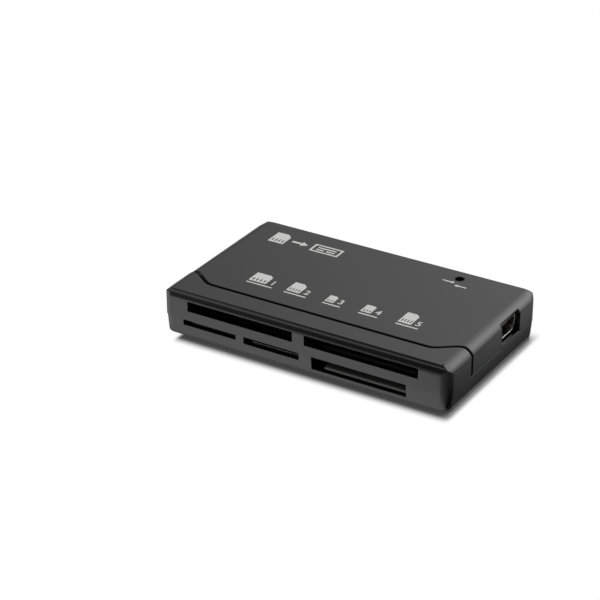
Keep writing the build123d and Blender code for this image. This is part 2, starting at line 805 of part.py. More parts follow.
chip_x = x_left + chip_from_left
chip_y = y_back - chip_from_back
beside = chip_size / 2 + lead_reach + passive_gap
capacitor_row = [(chip_x + side * beside, chip_y + step)
                 for side in (-1, 1) for step in row(capacitors_a_side, passive_pitch)]
save("chip_capacitors", passives(capacitor_size, capacitor_row, board_bottom, -1))
resistor_row = [(usb_rear + step, y_back - cover_post_from_back) for step in (passive_gap, 3 * passive_gap)]
save("chip_resistors", passives(resistor_size, resistor_row, board_top, 1))
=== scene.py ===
# %% [markdown]
# # A desk reader for memory cards
# The real object is a flat black box that fits in a palm: three plastic mouldings snapped round one
# circuit board, with card slots along the front and a small five-pin socket on the right.
# The shapes are finished before this lesson starts, so it gives every piece its finish, adds the white
# print on the top, and lights the whole as a small studio would.

# %% Load the construction
import math

import bpy
from mathutils import Matrix, Vector


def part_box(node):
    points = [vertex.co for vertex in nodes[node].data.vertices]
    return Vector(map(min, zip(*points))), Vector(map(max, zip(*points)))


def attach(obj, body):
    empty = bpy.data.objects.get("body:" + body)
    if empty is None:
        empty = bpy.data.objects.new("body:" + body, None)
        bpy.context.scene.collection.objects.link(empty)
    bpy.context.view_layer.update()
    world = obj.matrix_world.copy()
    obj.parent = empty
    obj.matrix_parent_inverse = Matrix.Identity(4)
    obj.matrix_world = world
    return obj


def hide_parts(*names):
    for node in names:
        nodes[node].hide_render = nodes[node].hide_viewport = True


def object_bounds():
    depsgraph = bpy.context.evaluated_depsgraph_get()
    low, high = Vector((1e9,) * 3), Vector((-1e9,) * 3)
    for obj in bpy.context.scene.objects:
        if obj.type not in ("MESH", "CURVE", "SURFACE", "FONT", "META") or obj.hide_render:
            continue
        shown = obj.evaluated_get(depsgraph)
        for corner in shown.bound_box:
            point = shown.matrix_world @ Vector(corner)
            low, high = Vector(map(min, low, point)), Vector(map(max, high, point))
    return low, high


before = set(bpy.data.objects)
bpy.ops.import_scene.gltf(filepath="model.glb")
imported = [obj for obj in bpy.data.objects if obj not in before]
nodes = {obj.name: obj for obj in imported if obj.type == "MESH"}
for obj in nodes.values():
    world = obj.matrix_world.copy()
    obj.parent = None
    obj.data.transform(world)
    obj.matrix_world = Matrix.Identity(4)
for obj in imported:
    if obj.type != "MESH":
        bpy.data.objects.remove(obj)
cad_box = [list(corner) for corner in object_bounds()]
mm = 0.001
low, high = (Vector(corner) for corner in cad_box)
size_mm = [round(side / mm, 2) for side in high - low]
print(len(nodes), "pieces in a box of", size_mm, "mm")

# %% [markdown]
# ## Two helpers
# Colours on a real product are picked on a screen, as sRGB hex values, but light adds up in linear
# values, so one function turns the first into the second. The other adds a shader node, sets its
# properties and sockets, and links it. That keeps each material below short enough to read as a recipe.

# %% Colour and node helpers
def linear(code):
    """Linear RGBA from a hex colour such as #1a1a1b."""
    steps = [int(code[i:i + 2], 16) / 255 for i in (1, 3, 5)]
    return [s / 12.92 if s <= 0.04045 else ((s + 0.055) / 1.055) ** 2.4 for s in steps] + [1.0]


def add(tree, kind, values=None, links=None, **settings):
    """Adds one node with its settings, socket values and incoming links."""
    made = tree.nodes.new(kind)
    for name, value in settings.items():
        setattr(made, name, value)
    for socket, value in (values or {}).items():
        made.inputs[socket].default_value = value
    for socket, (source, output) in (links or {}).items():
        tree.links.new(source.outputs[output], made.inputs[socket])
    return made


def blank(name):
    """A new material with an empty node tree and an output."""
    material = bpy.data.materials.new(name)
    material.use_nodes = True
    material.node_tree.nodes.clear()
    return material, material.node_tree


def per_mm(size):
    """Texture scale at which one feature is that many millimetres wide."""
    return 1 / (size * mm)


print("mid grey", [round(c, 3) for c in linear("#808080")])

# %% [markdown]
# ## The case: moulded gloss ABS
# The three shells are black ABS, shot into a polished steel mould. Such a face is nearly a mirror, but
# not quite: as the plastic shrinks it keeps a slow waviness, called orange peel, about 2 mm from crest to
# crest, and the polish leaves a very fine haze. A flat black would hide all that. So the colour is almost
# constant, the roughness drifts in broad patches where hands and mould release leave a bloom, and two
# bumps bend the reflections. Tool edges are never perfectly sharp, so a bevel rounds the shading there: most
# on the cover, whose rounded front lip mirrors the dark gap. There the gloss is also turned down along the
# edges, a painted shade, and together they make the seam read as a wide dark line.

# %% Moulded gloss ABS
peel_width = 2.2  # mm
haze_width = 0.16  # mm, drawn coarser than the real polish so that it shows
bloom_width = 7.0  # mm


def gloss_abs(name, edge_radius, painted_edge_shade=False):
    """Polished black ABS whose edges are rounded by that many millimetres, with painted shade on them where
    asked.
    """
    material, tree = blank(name)
    place = add(tree, "ShaderNodeTexCoord")
    rounded = add(tree, "ShaderNodeBevel", {"Radius": edge_radius * mm}, samples=6)
    peel = add(tree, "ShaderNodeTexNoise", {"Scale": per_mm(peel_width), "Detail": 1.0},
               {"Vector": (place, "Object")})
    haze = add(tree, "ShaderNodeTexNoise", {"Scale": per_mm(haze_width), "Detail": 2.0},
               {"Vector": (place, "Object")})
    bloom = add(tree, "ShaderNodeTexNoise", {"Scale": per_mm(bloom_width), "Detail": 3.0},
                {"Vector": (place, "Object")})
    wave = add(tree, "ShaderNodeBump", {"Strength": 0.05, "Distance": 0.02 * mm},
               {"Height": (peel, "Fac"), "Normal": (rounded, "Normal")})
    skin = add(tree, "ShaderNodeBump", {"Strength": 0.06, "Distance": 0.006 * mm},
               {"Height": (haze, "Fac"), "Normal": (wave, "Normal")})
    gloss = add(tree, "ShaderNodeMapRange", {"To Min": 0.08, "To Max": 0.14}, {"Value": (bloom, "Fac")})
    tone = add(tree, "ShaderNodeMix", {"A": linear("#0d0d0d"), "B": linear("#111112")},
               {0: (bloom, "Fac")}, data_type="RGBA")
    surface = add(tree, "ShaderNodeBsdfPrincipled", {"IOR": 1.7},
                  {"Base Color": (tone, "Result"), "Roughness": (gloss, "Result"),
                   "Normal": (skin, "Normal")})
    if painted_edge_shade:
        # Painted shade: the gloss falls to none where the bevel turns the normal away, so the edges and the
        # seam read dark.
        flat = add(tree, "ShaderNodeNewGeometry")
        turned = add(tree, "ShaderNodeVectorMath", links={0: (rounded, "Normal"), 1: (flat, "Normal")},
                     operation="DOT_PRODUCT")
        edge_shade_gloss = add(tree, "ShaderNodeMapRange", {"From Min": 0.86, "From Max": 0.995, "To Max": 0.5},
                    {"Value": (turned, "Value")})
        tree.links.new(edge_shade_gloss.outputs["Result"], surface.inputs["Specular IOR Level"])
    add(tree, "ShaderNodeOutputMaterial", links={"Surface": (surface, "BSDF")})
    return material


# The cover gets painted shade along its edges.
shell_abs = {"front_bezel": gloss_abs("moulded_gloss_abs", 0.10),
             "bottom_shell": gloss_abs("moulded_gloss_abs_base", 0.25),
             "top_cover": gloss_abs("moulded_gloss_abs_cover", 0.5, painted_edge_shade=True)}
print("case finishes:", [material.name for material in shell_abs.values()])

# %% [markdown]
# ## Inside the slots: glass-filled socket plastic
# The trays that guide the cards are moulded from a stiff black polymer full of glass fibres, which come
# near the surface and make it dull and faintly speckled. High roughness and a fine bump give that.

# %% Glass-filled socket plastic
socket_plastic, tree = blank("glass_filled_socket_polymer")
fibre_width = 0.12  # mm
place = add(tree, "ShaderNodeTexCoord")
fibre = add(tree, "ShaderNodeTexNoise", {"Scale": per_mm(fibre_width), "Detail": 3.0},
            {"Vector": (place, "Object")})
speckle = add(tree, "ShaderNodeMix", {"A": linear("#0c0c0d"), "B": linear("#18181a")},
              {0: (fibre, "Fac")}, data_type="RGBA")
grit = add(tree, "ShaderNodeBump", {"Strength": 0.3, "Distance": 0.01 * mm}, {"Height": (fibre, "Fac")})
surface = add(tree, "ShaderNodeBsdfPrincipled", {"Roughness": 0.5, "IOR": 1.55},
              {"Base Color": (speckle, "Result"), "Normal": (grit, "Normal")})
add(tree, "ShaderNodeOutputMaterial", links={"Surface": (surface, "BSDF")})
print("socket finish:", socket_plastic.name)

# %% [markdown]
# ## Grey filled nylon
# The tongue in the side socket and the thin floor of the widest lower slot are a paler, chalk-filled nylon.
# It scatters light where the black plastic would only mirror the dark slot, so its edge shows as a grey line.

# %% Grey filled nylon
grey_nylon, tree = blank("grey_filled_nylon")
chalk_width = 0.3  # mm, clumps in the filler
place = add(tree, "ShaderNodeTexCoord")
chalk = add(tree, "ShaderNodeTexNoise", {"Scale": per_mm(chalk_width), "Detail": 2.0},
            {"Vector": (place, "Object")})
colour = add(tree, "ShaderNodeMix", {"A": linear("#707070"), "B": linear("#848482")},
             {0: (chalk, "Fac")}, data_type="RGBA")
surface = add(tree, "ShaderNodeBsdfPrincipled", {"Roughness": 0.5, "IOR": 1.53},
              {"Base Color": (colour, "Result")})
add(tree, "ShaderNodeOutputMaterial", links={"Surface": (surface, "BSDF")})
print("tongue finish:", grey_nylon.name)

# %% [markdown]
# ## Stamped covers and the side socket: tin-plated steel
# Thin strip is plated, then stamped and folded. The rolls that made the strip leave fine lines all in one
# direction, so the roughness comes from a noise that is squeezed along one axis until it draws lines.

# %% Tin-plated rolled steel
plated_steel, tree = blank("tin_plated_rolled_steel")
roll_spacing = 0.08  # mm across the rolling lines, coarser than real so that they show
roll_length = 4.0  # mm along them
fold_radius = 0.2  # mm, the shading of stamped edges
place = add(tree, "ShaderNodeTexCoord")
line_scale = (per_mm(roll_length), per_mm(roll_spacing), per_mm(roll_spacing))
along = add(tree, "ShaderNodeMapping", {"Scale": line_scale}, {"Vector": (place, "Object")})
lines = add(tree, "ShaderNodeTexNoise", {"Scale": 1.0, "Detail": 2.0}, {"Vector": (along, "Vector")})
rounded = add(tree, "ShaderNodeBevel", {"Radius": fold_radius * mm}, samples=6)
scratch = add(tree, "ShaderNodeBump", {"Strength": 0.15, "Distance": 0.004 * mm},
              {"Height": (lines, "Fac"), "Normal": (rounded, "Normal")})
polish = add(tree, "ShaderNodeMapRange", {"To Min": 0.14, "To Max": 0.26}, {"Value": (lines, "Fac")})
surface = add(tree, "ShaderNodeBsdfPrincipled", {"Base Color": linear("#dcdbd7"), "Metallic": 1.0},
              {"Roughness": (polish, "Result"), "Normal": (scratch, "Normal")})
add(tree, "ShaderNodeOutputMaterial", links={"Surface": (surface, "BSDF")})
print("stamped metal finish:", plated_steel.name)

# %% [markdown]
# ## Contacts and pins: gold over phosphor bronze
# The springs that touch a card carry a flash of gold. It is thin, so the bronze below and the wiping
# of cards show as patches that are a little redder and duller.

# %% Gold-flashed bronze
gilt, tree = blank("gold_flashed_bronze")
wipe_width = 0.5  # mm
place = add(tree, "ShaderNodeTexCoord")
wipe = add(tree, "ShaderNodeTexNoise", {"Scale": per_mm(wipe_width), "Detail": 2.0},
           {"Vector": (place, "Object")})
colour = add(tree, "ShaderNodeMix", {"A": linear("#dcae4e"), "B": linear("#c48a3c")},
             {0: (wipe, "Fac")}, data_type="RGBA")
polish = add(tree, "ShaderNodeMapRange", {"To Min": 0.16, "To Max": 0.34}, {"Value": (wipe, "Fac")})
surface = add(tree, "ShaderNodeBsdfPrincipled", {"Metallic": 1.0},
              {"Base Color": (colour, "Result"), "Roughness": (polish, "Result")})
add(tree, "ShaderNodeOutputMaterial", links={"Surface": (surface, "BSDF")})
print("contact finish:", gilt.name)

# %% [markdown]
# ## The board: lacquered glass laminate
# Epoxy and woven glass, pressed flat, with a green lacquer over copper tracks. The weave shows through
# as a faint check of about half a millimetre, and the lacquer lies over it like a clear coat.

# %% Lacquered glass laminate
laminate, tree = blank("lacquered_glass_laminate")
weave_width = 0.5  # mm
place = add(tree, "ShaderNodeTexCoord")
weave = add(tree, "ShaderNodeTexChecker", {"Color1": linear("#0a2f1a"), "Color2": linear("#0c3820"),
                                           "Scale": per_mm(weave_width)}, {"Vector": (place, "Object")})
pressed = add(tree, "ShaderNodeBump", {"Strength": 0.2, "Distance": 0.01 * mm}, {"Height": (weave, "Fac")})
surface = add(tree, "ShaderNodeBsdfPrincipled",
              {"Roughness": 0.4, "Coat Weight": 0.5, "Coat Roughness": 0.15},
              {"Base Color": (weave, "Color"), "Normal": (pressed, "Normal")})
add(tree, "ShaderNodeOutputMaterial", links={"Surface": (surface, "BSDF")})
print("board finish:", laminate.name)

# %% [markdown]
# ## Small parts on the board
# Chips are cast in black epoxy that is dull and sandy. Capacitors are fired ceramic, tan and slightly
# grainy, and resistors are glazed. The lamp is a drop of pale resin. They differ only in colour, gloss and
# grain, so one recipe in a loop makes all four.

# %% Epoxy, ceramic, glaze and resin
small_finishes = {}
for name, dark, light, roughness, grain_width in (
        ("sandy_cast_epoxy", "#17171a", "#222225", 0.62, 0.10),
        ("fired_tan_ceramic", "#93714b", "#a88560", 0.45, 0.12),
        ("black_resistor_glaze", "#0d0d0f", "#16161a", 0.18, 0.30),
        ("pale_lamp_resin", "#ddd8c4", "#ece8d8", 0.25, 0.40)):
    material, tree = blank(name)
    place = add(tree, "ShaderNodeTexCoord")
    grain = add(tree, "ShaderNodeTexNoise", {"Scale": per_mm(grain_width), "Detail": 2.0},
                {"Vector": (place, "Object")})
    colour = add(tree, "ShaderNodeMix", {"A": linear(dark), "B": linear(light)},
                 {0: (grain, "Fac")}, data_type="RGBA")
    sand = add(tree, "ShaderNodeBump", {"Strength": 0.3, "Distance": 0.01 * mm}, {"Height": (grain, "Fac")})
    surface = add(tree, "ShaderNodeBsdfPrincipled", {"Roughness": roughness},
                  {"Base Color": (colour, "Result"), "Normal": (sand, "Normal")})
    add(tree, "ShaderNodeOutputMaterial", links={"Surface": (surface, "BSDF")})
    small_finishes[name] = material
print("small finishes:", ", ".join(small_finishes))

# %% [markdown]
# ## Give each piece its finish
# A piece's own name says what it is made of, so the finishes are handed out by the last word of the name.

# %% Hand out the finishes
finish_of = {
    "tray": socket_plastic, "header": socket_plastic, "floor": grey_nylon, "insulator": grey_nylon,
    "shield": plated_steel, "shell": plated_steel, "can": plated_steel, "leads": plated_steel,
    "contacts": gilt, "pins": gilt,
    "board": laminate,
    "chip": small_finishes["sandy_cast_epoxy"], "regulator": small_finishes["sandy_cast_epoxy"],
    "capacitors": small_finishes["fired_tan_ceramic"],
    "resistors": small_finishes["black_resistor_glaze"],
    "led": small_finishes["pale_lamp_resin"],
}
for name, piece in nodes.items():
    finish = shell_abs.get(name) or finish_of[name.split("_")[-1]]
    piece.data.materials.clear()
    piece.data.materials.append(finish)
print("finished", len(nodes), "pieces")

# %% [markdown]
# ## Softer corners and a wider seam
# A mould is cut with a round tool, so the corners of the real case are fuller than those of the construction,
# and the joint between bezel and cover reads as a wide groove. The construction can't be edited here, so a
# copy of each shell stands in for it. Every corner is pulled in towards a larger radius: a ray from outside
# finds how far the wall lies from the centre of that radius, and the point moves in by the same share. Extra
# cuts give the corners enough points, and weighted normals keep the flat faces flat.

# %% Pull the corners in
import bmesh
from mathutils.bvhtree import BVHTree

back_radius, front_radius = 3.2, 2.4  # mm in plan
cut_shares = (1.0, 0.8)  # of the radius, where the extra cuts run
ray_start = 4  # radii outside the corner
weld_distance = 0.001  # mm


def softened(name, probe, radii):
    """A copy of a shell whose corners have these radii, measured on its wall at that height.

    The radii are keyed 1 for the back corners and -1 for the front ones.
    """
    lowest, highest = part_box(name)
    shape = bmesh.new()
    shape.from_mesh(nodes[name].data)
    bmesh.ops.remove_doubles(shape, verts=shape.verts, dist=weld_distance * mm)
    walls = BVHTree.FromBMesh(shape)
    for end, radius in radii.items():
        for share in cut_shares:
            cut = share * radius * mm
            edge = highest.y - cut if end > 0 else lowest.y + cut
            for co, no in (((highest.x - cut, 0, 0), (1, 0, 0)), ((lowest.x + cut, 0, 0), (1, 0, 0)),
                           ((0, edge, 0), (0, 1, 0))):
                bmesh.ops.bisect_plane(shape, geom=shape.verts[:] + shape.edges[:] + shape.faces[:],
                                       plane_co=co, plane_no=no)
    for vertex in shape.verts:
        for end, radius in radii.items():
            side = math.copysign(1, vertex.co.x)
            centre = Vector((side * (highest.x - radius * mm),
                             highest.y - radius * mm if end > 0 else lowest.y + radius * mm, probe * mm))
            out = Vector((vertex.co.x - centre.x, vertex.co.y - centre.y, 0))
            if out.x * side <= 0 or out.y * end <= 0:
                continue
            way = out.normalized()
            wall, _, _, _ = walls.ray_cast(centre + ray_start * radius * mm * way, -way)
            share = min(1, radius * mm / (wall - centre).length)
            vertex.co.x, vertex.co.y = centre.x + share * out.x, centre.y + share * out.y
    return shape


print("corner radii", back_radius, "mm at the back and", front_radius, "mm at the front")

# %% Let a copy stand in for its shell
crease_angle = math.radians(35)  # sharper edges than this stay sharp


def stand_in(name, shape):
    """Puts a reshaped shell in the place of its construction."""
    mesh = bpy.data.meshes.new(name + "_soft")
    shape.to_mesh(mesh)
    shape.free()
    if "custom_normal" in mesh.attributes:
        mesh.attributes.remove(mesh.attributes["custom_normal"])
    mesh.shade_smooth()
    mesh.set_sharp_from_angle(angle=crease_angle)
    mesh.materials.clear()
    mesh.materials.append(shell_abs[name])
    piece = bpy.data.objects.new(name + "_soft", mesh)
    bpy.context.scene.collection.objects.link(piece)
    piece.modifiers.new("flat_faces", "WEIGHTED_NORMAL").keep_sharp = True
    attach(piece, "root")
    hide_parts(name)
    return piece


print("edges under", round(math.degrees(crease_angle)), "degrees are shaded smooth")

# %% Step the cover back along the seam
seam_extra = 0.4  # mm that the cover's edge steps back
seam_zone = 1.0  # mm behind the bezel's edge that holds only the cover's edge
rolled_width = 2.6  # mm at each side where the top is rolled
lip_height = 0.05  # mm below the bezel's top, still above the cover
upper_wall, lower_wall = 7.0, 4.2  # mm, heights at which the walls of the two halves are measured
bezel_mesh = nodes["front_bezel"].data
bezel_walls = BVHTree.FromPolygons([vertex.co for vertex in bezel_mesh.vertices],
                                   [face.vertices for face in bezel_mesh.polygons])
cover = softened("top_cover", upper_wall, {1: back_radius})
top_half = high.x - rolled_width * mm
for vertex in cover.verts:
    x = max(-top_half, min(top_half, vertex.co.x))
    start = Vector((x, high.y, high.z - lip_height * mm))
    edge, _, _, _ = bezel_walls.ray_cast(start, Vector((0, -1, 0)))
    if vertex.co.y - edge.y < seam_zone * mm:
        vertex.co.y += seam_extra * mm
bezel = softened("front_bezel", upper_wall, {-1: front_radius})
base = softened("bottom_shell", lower_wall, {1: back_radius, -1: front_radius})
shells = [stand_in("top_cover", cover), stand_in("front_bezel", bezel), stand_in("bottom_shell", base)]
print("reshaped:", [(piece.name, len(piece.data.polygons)) for piece in shells])

# %% [markdown]
# ## The print on the top
# The top carries small white signs, put on by pad printing: a soft pad picks ink from an etched plate and
# stamps it on the plastic, about a hundredth of a millimetre thick. The signs here are plain ones that say
# what goes where: a card and an arrow to the reader, five numbered cards for the five front slots, and two
# arrows by the lamp. Flat curves with holes draw them, because Blender fills a curve and leaves its holes
# open, and the result becomes one thin mesh that lies on the cover.

# %% Outlines of the signs
def bar(x, y, width, height):
    """A plain rectangle."""
    return [(x, y), (x + width, y), (x + width, y + height), (x, y + height)]


def card(x, y, width, height, corner, windows):
    """A card seen from above: one cut corner and a row of open contact windows near its front edge."""
    body = [(x, y), (x + width, y), (x + width, y + height - corner), (x + width - corner, y + height),
            (x, y + height)]
    step = width / (windows + 0.6)
    loops = [body]
    for i in range(windows):
        left = x + step * (i + 0.6)
        loops.append(bar(left, y + 0.12 * height, 0.4 * step, 0.26 * height))
    return loops


def arrow(x, y, length, head):
    """An arrow from (x, y) along X, backwards where the length is negative."""
    way = math.copysign(1, length)
    neck = x + length - way * head
    stem = 0.22 * head
    return [(x, y - stem), (neck, y - stem), (neck, y - 0.62 * head), (x + length, y),
            (neck, y + 0.62 * head), (neck, y + stem), (x, y + stem)]


print("three kinds of sign: card, bar and arrow")

# %% Lay the signs out, in millimetres on the top
signs = card(-28.4, 11.05, 4.0, 4.9, 1.1, 4)
signs += [arrow(-23.2, 13.45, 4.2, 1.7)]
signs += [bar(-17.8, 11.65, 7.4, 3.6), bar(-17.3, 12.15, 6.4, 2.6),
          bar(-16.5, 13.65, 4.8, 0.5), bar(-16.5, 12.65, 2.0, 0.5), bar(-13.9, 12.65, 2.2, 0.5)]
slot_cards = ((-21.5, 4.4, 4.0, 0.8), (-11.8, 3.4, 4.3, 1.0), (-2.0, 2.2, 3.0, 0.6),
              (7.0, 2.5, 3.3, 0.5), (16.2, 3.2, 4.8, 0.9))
sign_row = -7.75
narrow_card = 3.0  # a narrower one has three windows, the others four
for number, (x, width, height, corner) in enumerate(slot_cards, start=1):
    signs += card(x, sign_row, width, height, corner, 3 if width < narrow_card else 4)
    signs += [bar(x, sign_row - 1.1, width + 2.2, 0.42)]
signs += [arrow(15.3, 14.35, 3.0, 0.9), arrow(21.6, 13.35, -3.0, 0.9)]
digit_gap, digit_lift = 0.7, 0.3
digits = [(str(number), x + width + digit_gap, sign_row + digit_lift)
          for number, (x, width, _, _) in enumerate(slot_cards, start=1)]
print(len(signs), "outlines and", len(digits), "numbers")

# %% Stamp the signs on the cover
ink_thickness = 0.012  # mm
digit_height = 1.9  # mm
digit_share = 0.7  # a digit's height as a share of the font's size
digit_swell = 0.04  # mm that the ink spreads round a digit
cover_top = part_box("top_cover")[1].z / mm
drawing = bpy.data.curves.new("sign_outlines", "CURVE")
drawing.dimensions = "2D"
drawing.fill_mode = "BOTH"
drawing.extrude = ink_thickness / 2 * mm
for loop in signs:
    spline = drawing.splines.new("POLY")
    spline.points.add(len(loop) - 1)
    spline.use_cyclic_u = True
    for point, (x, y) in zip(spline.points, loop):
        point.co = (x * mm, y * mm, 0, 1)
stamps = [bpy.data.objects.new("sign_outlines", drawing)]
for body, x, y in digits:
    text = bpy.data.curves.new("sign_number", "FONT")
    text.body = body
    text.size = digit_height / digit_share * mm
    text.extrude = ink_thickness / 2 * mm
    text.offset = digit_swell * mm
    stamp = bpy.data.objects.new("sign_number", text)
    stamp.location = (x * mm, y * mm, 0)
    stamps.append(stamp)
for stamp in stamps:
    bpy.context.scene.collection.objects.link(stamp)
bpy.context.view_layer.update()
print(len(stamps), "stamps")

# %% Join the signs into one thin piece
ink_weld = 0.0005  # mm
sheet = bmesh.new()
graph = bpy.context.evaluated_depsgraph_get()
for stamp in stamps:
    part = bpy.data.meshes.new_from_object(stamp.evaluated_get(graph))
    part.transform(stamp.matrix_world)
    sheet.from_mesh(part)
    bpy.data.objects.remove(stamp)
bmesh.ops.remove_doubles(sheet, verts=sheet.verts, dist=ink_weld * mm)
bmesh.ops.translate(sheet, verts=sheet.verts, vec=(0, 0, (cover_top + ink_thickness / 2) * mm))
print_mesh = bpy.data.meshes.new("top_print")
sheet.to_mesh(print_mesh)
sheet.free()
top_print = bpy.data.objects.new("top_print", print_mesh)
bpy.context.scene.collection.objects.link(top_print)
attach(top_print, "root")
print("print:", len(print_mesh.polygons), "faces at", round(cover_top, 2), "mm")

# %% [markdown]
# ## The ink: pad-printed white
# Pad ink dries matt and a little uneven: where the pad lifted, the white is thinner and the black grins
# through. A fine noise between two whites gives that without needing an image.

# %% Pad-printed white ink
ink, tree = blank("pad_printed_white_ink")
ink_grain = 0.25  # mm
place = add(tree, "ShaderNodeTexCoord")
cover_noise = add(tree, "ShaderNodeTexNoise", {"Scale": per_mm(ink_grain), "Detail": 3.0},
                  {"Vector": (place, "Object")})
white = add(tree, "ShaderNodeMix", {"A": linear("#b9b9b8"), "B": linear("#efefed")},
            {0: (cover_noise, "Fac")}, data_type="RGBA")
surface = add(tree, "ShaderNodeBsdfPrincipled", {"Roughness": 0.55}, {"Base Color": (white, "Result")})
add(tree, "ShaderNodeOutputMaterial", links={"Surface": (surface, "BSDF")})
top_print.data.materials.append(ink)
print("ink finish:", ink.name)

# %% [markdown]
# ## The floor
# The reader lies on a white sweep. Within a few millimetres the paper takes the reader's soft shadow.
# Further out the same white is laid on as light that only the camera and reflections see, so the paper runs
# off to pure white without more light falling on the black plastic.

# %% White sweep
def seen_by(tree, *kinds):
    """A switch that is 1 for rays of these kinds and 0 for others, as a node and its output."""
    ray = add(tree, "ShaderNodeLightPath")
    switch = (ray, kinds[0])
    for kind in kinds[1:]:
        either = add(tree, "ShaderNodeMath", links={0: switch, 1: (ray, kind)}, operation="MAXIMUM")
        switch = (either, "Value")
    return switch


def flat_piece(name, left, front, right, back, height):
    """A level rectangle in millimetres that belongs to the studio, not to the object."""
    mesh = bpy.data.meshes.new(name)
    corners = [(left, front, height), (right, front, height), (right, back, height), (left, back, height)]
    mesh.from_pydata([Vector(corner) * mm for corner in corners], [], [(0, 1, 2, 3)])
    piece = bpy.data.objects.new(name, mesh)
    bpy.context.scene.collection.objects.link(piece)
    return piece


sweep = 3000  # mm to each side
floor = flat_piece("floor", -sweep, -sweep, sweep, sweep, 0)
paper, tree = blank("white_paper_sweep")
shadow_reach, white_reach = 0.3, 3.6  # mm from the case, in front
side_ratio = 2.2  # the painted white starts that much closer at the sides, so the shadow is narrower there
shadow_shift = Vector((2.6, -1.2, 0)) * mm  # the painted white is centred this far off, so the shadow shows to the right and to the front
place = add(tree, "ShaderNodeTexCoord")
shifted = add(tree, "ShaderNodeVectorMath", {1: shadow_shift}, {0: (place, "Object")}, operation="SUBTRACT")
mirrored = add(tree, "ShaderNodeVectorMath", links={0: (shifted, "Vector")}, operation="ABSOLUTE")
half = Vector((high.x - shadow_shift.x, high.y + shadow_shift.y, 0))
beside = add(tree, "ShaderNodeVectorMath", {1: half}, {0: (mirrored, "Vector")}, operation="SUBTRACT")
outside = add(tree, "ShaderNodeVectorMath", {1: (0, 0, 0)}, {0: (beside, "Vector")}, operation="MAXIMUM")
scaled = add(tree, "ShaderNodeVectorMath", {1: (side_ratio, 1, 0)}, {0: (outside, "Vector")},
             operation="MULTIPLY")
away = add(tree, "ShaderNodeVectorMath", links={0: (scaled, "Vector")}, operation="LENGTH")
# Painted light: from here out the camera sees emitted white over the paper, which trims the shadow to this
# shape.
painted_white_share = add(tree, "ShaderNodeMapRange", {"From Min": shadow_reach * mm, "From Max": white_reach * mm},
           {"Value": (away, "Value")}, interpolation_type="SMOOTHSTEP")
to_camera = add(tree, "ShaderNodeMath", links={0: (painted_white_share, "Result"), 1: seen_by(tree, "Is Camera Ray")},
                operation="MULTIPLY")
share = add(tree, "ShaderNodeMath",
            links={0: (to_camera, "Value"), 1: seen_by(tree, "Is Glossy Ray", "Is Transmission Ray")},
            operation="MAXIMUM")
matt = add(tree, "ShaderNodeBsdfDiffuse", {"Color": linear("#f4f4f4")})
lit = add(tree, "ShaderNodeEmission", {"Strength": 1.0})
both = add(tree, "ShaderNodeMixShader", links={0: (share, "Value"), 1: (matt, "BSDF"), 2: (lit, "Emission")})
add(tree, "ShaderNodeOutputMaterial", links={"Surface": (both, "Shader")})
floor.data.materials.append(paper)
print("floor:", paper.name)

# %% [markdown]
# ## What the sides mirror
# A glossy black box has hardly any colour of its own: it shows the room. So a photographer lays a card round
# it that the camera never sees. In front it is white, and the front face turns a clear grey. Round the front
# right corner it shades to black, which draws that corner as a dark line, and beside and behind it is dark
# grey, which keeps the other edges quiet. One gradient that turns round the corner shades it all. Three
# ranges then trim it: darker far in front, darker close beside the right side, and mid grey further out on the
# right, which the socket's rim mirrors.

# %% Lay the card
card_height = 0.02  # mm above the floor
table_card = flat_piece("shaded_card", -sweep, -sweep, sweep, sweep, card_height)
table_card.visible_camera = False
table_card.visible_diffuse = False
table_card.visible_shadow = False
print("card:", table_card.name)

# %% Shade the card round the front right corner
shaded, tree = blank("shaded_card_paper")
# Degrees from +X, and the tone there
card_tones = ((-130, 1.0), (-108, 0.60), (-80, 0.42), (-48, 0.26), (-22, 0.12), (0, 0.06), (28, 0.035),
              (52, 0.06), (64, 0.24), (76, 0.30), (84, 0.44), (92, 0.50), (100, 0.34))
place = add(tree, "ShaderNodeTexCoord")
corner = add(tree, "ShaderNodeMapping", {"Location": (high.x, low.y, 0)}, {"Vector": (place, "Object")},
             vector_type="TEXTURE")
turn = add(tree, "ShaderNodeTexGradient", links={"Vector": (corner, "Vector")}, gradient_type="RADIAL")
tones = add(tree, "ShaderNodeValToRGB", links={"Fac": (turn, "Fac")})
ramp = tones.color_ramp.elements
for end, (_, tone) in zip(ramp, (card_tones[0], card_tones[-1])):
    end.color = (tone, tone, tone, 1)
for angle, tone in card_tones:
    ramp.new(angle / 360 + 0.5).color = (tone, tone, tone, 1)
print("card tones:", len(ramp))

# %% Trim the card's tones
front_slant = -0.5  # the front range leans towards the right by this much
front_far, front_near, front_tone = -105, -36, 0.08  # mm from dark to full, and the dark's share
wing_width, wing_tone = 8, 0.16  # mm beside the right side, and the share there
rim_width, rim_tone = 40, 0.5  # mm at which the mid grey is reached
depth = add(tree, "ShaderNodeSeparateXYZ", links={"Vector": (place, "Object")})
slant = add(tree, "ShaderNodeMath", {1: front_slant}, {0: (depth, "X"), 2: (depth, "Y")},
            operation="MULTIPLY_ADD")
near = add(tree, "ShaderNodeMapRange",
           {"From Min": front_far * mm, "From Max": front_near * mm, "To Min": front_tone},
           {"Value": (slant, "Value")})
aside = add(tree, "ShaderNodeMath", {1: high.x}, {0: (depth, "X")}, operation="SUBTRACT")
wing = add(tree, "ShaderNodeMapRange", {"From Max": wing_width * mm, "To Min": wing_tone},
           {"Value": (aside, "Value")})
left_of = add(tree, "ShaderNodeMath", {1: high.x}, {0: (depth, "X")}, operation="LESS_THAN")
before = add(tree, "ShaderNodeMath", {1: low.y}, {0: (depth, "Y")}, operation="LESS_THAN")
elsewhere = add(tree, "ShaderNodeMath", links={0: (left_of, "Value"), 1: (before, "Value")},
                operation="MAXIMUM")
